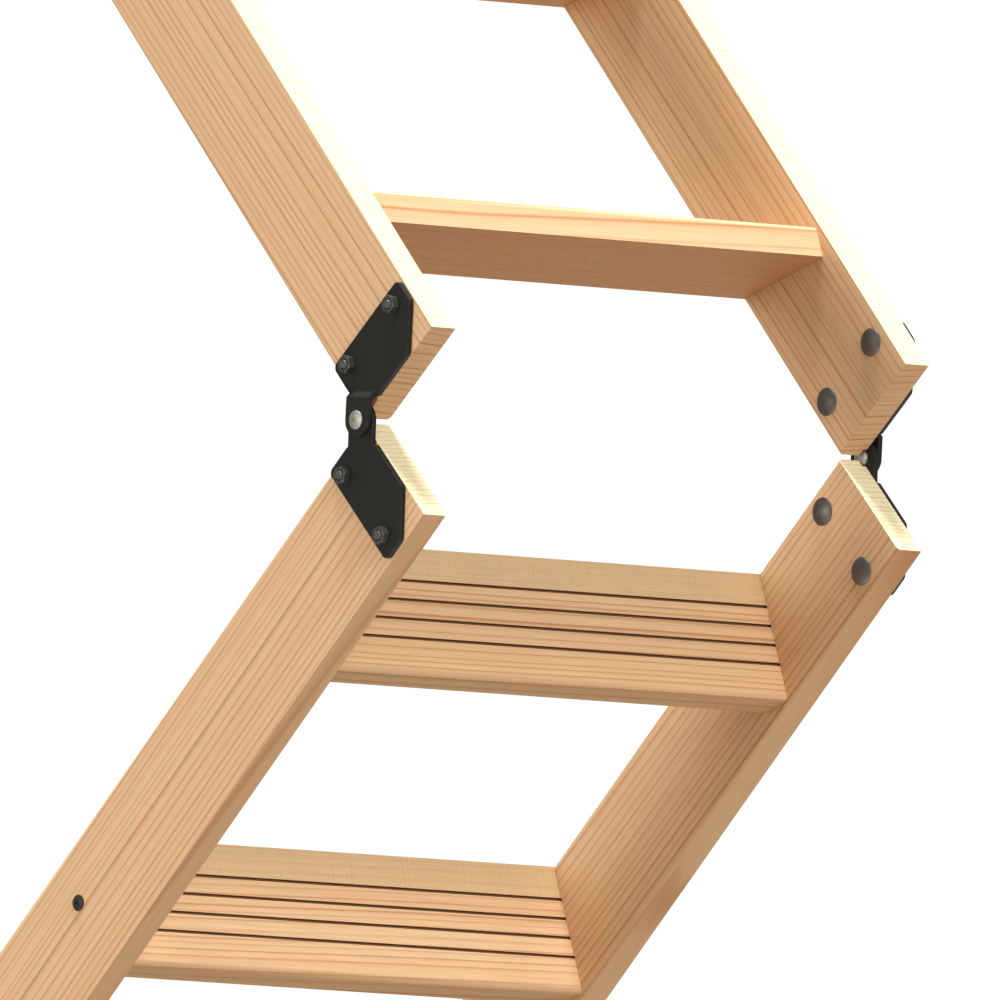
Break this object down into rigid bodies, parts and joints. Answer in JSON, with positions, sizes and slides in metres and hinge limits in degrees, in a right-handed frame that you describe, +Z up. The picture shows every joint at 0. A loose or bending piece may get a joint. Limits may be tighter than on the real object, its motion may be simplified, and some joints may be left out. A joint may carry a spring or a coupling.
{
  "type": "attic ladder",
  "caption": "Folding wooden attic ladder of three hinged sections with grooved treads, black steel strap hinges and hatch brackets.",
  "frame": {"origin": "on the hatch, midway between the two upper brackets' mounting faces", "axes": "+Z straight up with the ladder set at 66 degrees, +X from left to right seen by the climber, -Y towards the climber"},
  "size_m": [0.4704, 0.98, 2.369],
  "materials": {
    "pine": "unvarnished planed pine",
    "hinge_steel": "matte black powder coat",
    "bolt_steel": "dark phosphate",
    "nut_steel": "dark phosphate",
    "rivet_steel": "satin",
    "tie_screw_steel": "matte black",
    "bracket_steel": "matte black powder coat",
    "screw_steel": "zinc plated",
    "cap_plastic": "matte black"
  },
  "bodies": {
    "top_section": {"bracket_left_lower": "bracket_steel", "bracket_left_upper": "bracket_steel", "bracket_right_lower": "bracket_steel", "bracket_right_upper": "bracket_steel", "bracket_screws": "screw_steel", "front_hinge_left_rivet": "rivet_steel", "front_hinge_left_upper_bolts": "bolt_steel", "front_hinge_left_upper_leaf": "hinge_steel", "front_hinge_left_upper_nuts": "nut_steel", "front_hinge_right_rivet": "rivet_steel", "front_hinge_right_upper_bolts": "bolt_steel", "front_hinge_right_upper_leaf": "hinge_steel", "front_hinge_right_upper_nuts": "nut_steel", "top_left_stringer": "pine", "top_right_stringer": "pine", "top_tie_screws": "tie_screw_steel", "top_tread_1": "pine", "top_tread_2": "pine", "top_tread_3": "pine", "top_tread_4": "pine"},
    "middle_section": {"front_hinge_left_lower_bolts": "bolt_steel", "front_hinge_left_lower_leaf": "hinge_steel", "front_hinge_left_lower_nuts": "nut_steel", "front_hinge_right_lower_bolts": "bolt_steel", "front_hinge_right_lower_leaf": "hinge_steel", "front_hinge_right_lower_nuts": "nut_steel", "knee_hinge_left_rivet": "rivet_steel", "knee_hinge_left_upper_bolts": "bolt_steel", "knee_hinge_left_upper_leaf": "hinge_steel", "knee_hinge_left_upper_nuts": "nut_steel", "knee_hinge_right_rivet": "rivet_steel", "knee_hinge_right_upper_bolts": "bolt_steel", "knee_hinge_right_upper_leaf": "hinge_steel", "knee_hinge_right_upper_nuts": "nut_steel", "middle_left_stringer": "pine", "middle_right_stringer": "pine", "middle_tie_screws": "tie_screw_steel", "middle_tread_1": "pine", "middle_tread_2": "pine", "middle_tread_3": "pine", "middle_tread_4": "pine"},
    "bottom_section": {"bottom_left_stringer": "pine", "bottom_right_stringer": "pine", "bottom_tie_screws": "tie_screw_steel", "bottom_tread_1": "pine", "bottom_tread_2": "pine", "bottom_tread_3": "pine", "bottom_tread_4": "pine", "foot_cap_left": "cap_plastic", "foot_cap_right": "cap_plastic", "foot_cap_screws": "screw_steel", "knee_hinge_left_lower_bolts": "bolt_steel", "knee_hinge_left_lower_leaf": "hinge_steel", "knee_hinge_left_lower_nuts": "nut_steel", "knee_hinge_right_lower_bolts": "bolt_steel", "knee_hinge_right_lower_leaf": "hinge_steel", "knee_hinge_right_lower_nuts": "nut_steel"}
  },
  "joints": [
    {"name": "front_fold", "type": "hinge", "parent": "top_section", "child": "middle_section", "pos_m": [0, -0.45829, -0.82601], "axis": [1, 0, 0], "range_deg": [-180, 0]},
    {"name": "knee_fold", "type": "hinge", "parent": "middle_section", "child": "bottom_section", "pos_m": [0, -0.79193, -1.77429], "axis": [1, 0, 0], "range_deg": [-88.5, 91.5]}
  ]
}
